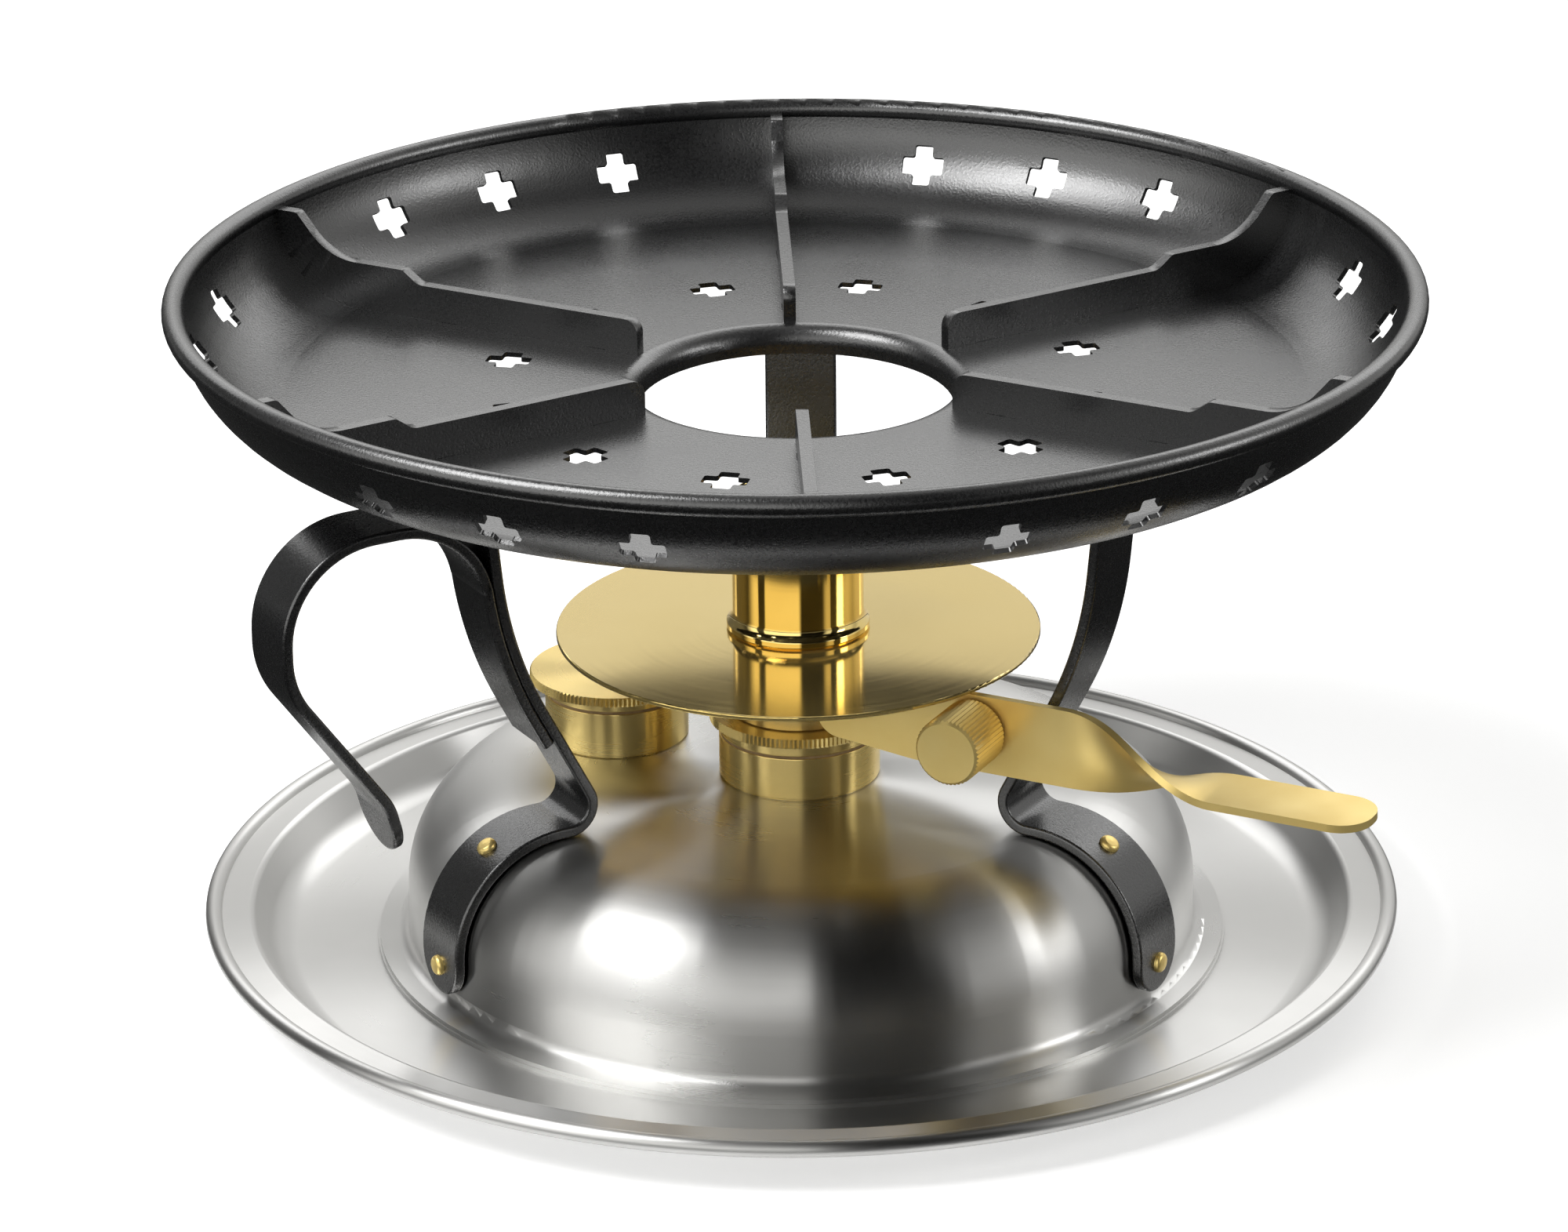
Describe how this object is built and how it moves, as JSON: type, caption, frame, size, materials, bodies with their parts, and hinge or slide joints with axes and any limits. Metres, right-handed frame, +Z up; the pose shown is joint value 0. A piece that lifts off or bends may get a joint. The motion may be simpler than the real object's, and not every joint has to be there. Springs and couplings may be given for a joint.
{
  "type": "spirit burner stand",
  "caption": "Table-top spirit burner on a drip tray: domed tank, screw-in brass burner with heat disc, swinging flame lever, and a black ribbed pan on bent strap legs with a loop handle.",
  "frame": {"origin": "on the table surface, at the centre of the drip tray", "axes": "+Z up along the burner's axis; the front faces -Y, with the loop handle at the left and the flame lever at the right"},
  "size_m": [0.25, 0.25, 0.1406],
  "materials": {
    "stainless_satin": "satin stainless sheet",
    "stainless_brushed": "spun stainless with fine concentric brushing",
    "brass_turned": "fine turned brass with crisp knurling",
    "brass_satin": "satin brass",
    "brass_polished": "polished brass",
    "black_coating": "satin black stoved coating",
    "gasket_fibre": "matt fibre sealing ring",
    "wadding": "off-white absorbent fibre"
  },
  "bodies": {
    "stand": {"drip_tray": "stainless_satin", "tank_dome": "stainless_brushed", "tank_base": "stainless_brushed", "absorbent_wadding": "wadding", "burner_collar": "brass_turned", "filler_collar": "brass_turned", "leg_front_left": "black_coating", "leg_front_right": "black_coating", "leg_rear": "black_coating", "handle_hook": "black_coating", "leg_rivets": "brass_satin", "pan_bowl": "black_coating", "pan_rib_1": "black_coating", "pan_rib_2": "black_coating", "pan_rib_3": "black_coating", "pan_rib_4": "black_coating", "pan_rib_5": "black_coating", "pan_rib_6": "black_coating"},
    "burner_seat": {"burner_gasket": "gasket_fibre"},
    "burner": {"burner_neck": "brass_turned", "burner_disc": "brass_polished", "burner_tube": "brass_polished", "burner_gauze": "brass_satin", "wick": "wadding"},
    "regulator": {"regulator_ring": "brass_turned", "lever": "brass_satin"},
    "thumbscrew_seat": {"thumbscrew_washer": "brass_turned"},
    "thumbscrew": {"thumbscrew": "brass_turned"},
    "filler_seat": {"filler_gasket": "gasket_fibre"},
    "filler_cap": {"filler_cap": "brass_turned"}
  },
  "joints": [
    {"name": "burner_lift", "type": "slide", "parent": "stand", "child": "burner_seat", "axis": [0, 0, 1], "range_m": [0, 0.006]},
    {"name": "burner_turn", "type": "hinge", "parent": "burner_seat", "child": "burner", "pos_m": [0, 0, 0.04], "axis": [0, 0, 1], "range_deg": [0, 1444]},
    {"name": "regulator_turn", "type": "hinge", "parent": "burner_seat", "child": "regulator", "pos_m": [0, 0, 0.0574], "axis": [0, 0, 1], "range_deg": [-70, 0.5]},
    {"name": "thumbscrew_slide", "type": "slide", "parent": "regulator", "child": "thumbscrew_seat", "axis": [-0.454, -0.891, 0], "range_m": [0, 0.0021]},
    {"name": "thumbscrew_turn", "type": "hinge", "parent": "thumbscrew_seat", "child": "thumbscrew", "pos_m": [0.03443, -0.03595, 0.0582], "axis": [-0.454, -0.891, 0], "range_deg": [0, 1086]},
    {"name": "filler_lift", "type": "slide", "parent": "stand", "child": "filler_seat", "axis": [0, 0, 1], "range_m": [0, 0.006]},
    {"name": "filler_turn", "type": "hinge", "parent": "filler_seat", "child": "filler_cap", "pos_m": [-0.03767, 0.02175, 0.045], "axis": [0, 0, 1], "range_deg": [0, 1444]}
  ],
  "couplings": [
    {"joint": "burner_turn", "follows": "burner_lift", "rad_per_m": 4188.8},
    {"joint": "thumbscrew_turn", "follows": "thumbscrew_slide", "rad_per_m": 8976},
    {"joint": "filler_turn", "follows": "filler_lift", "rad_per_m": 4188.8}
  ]
}
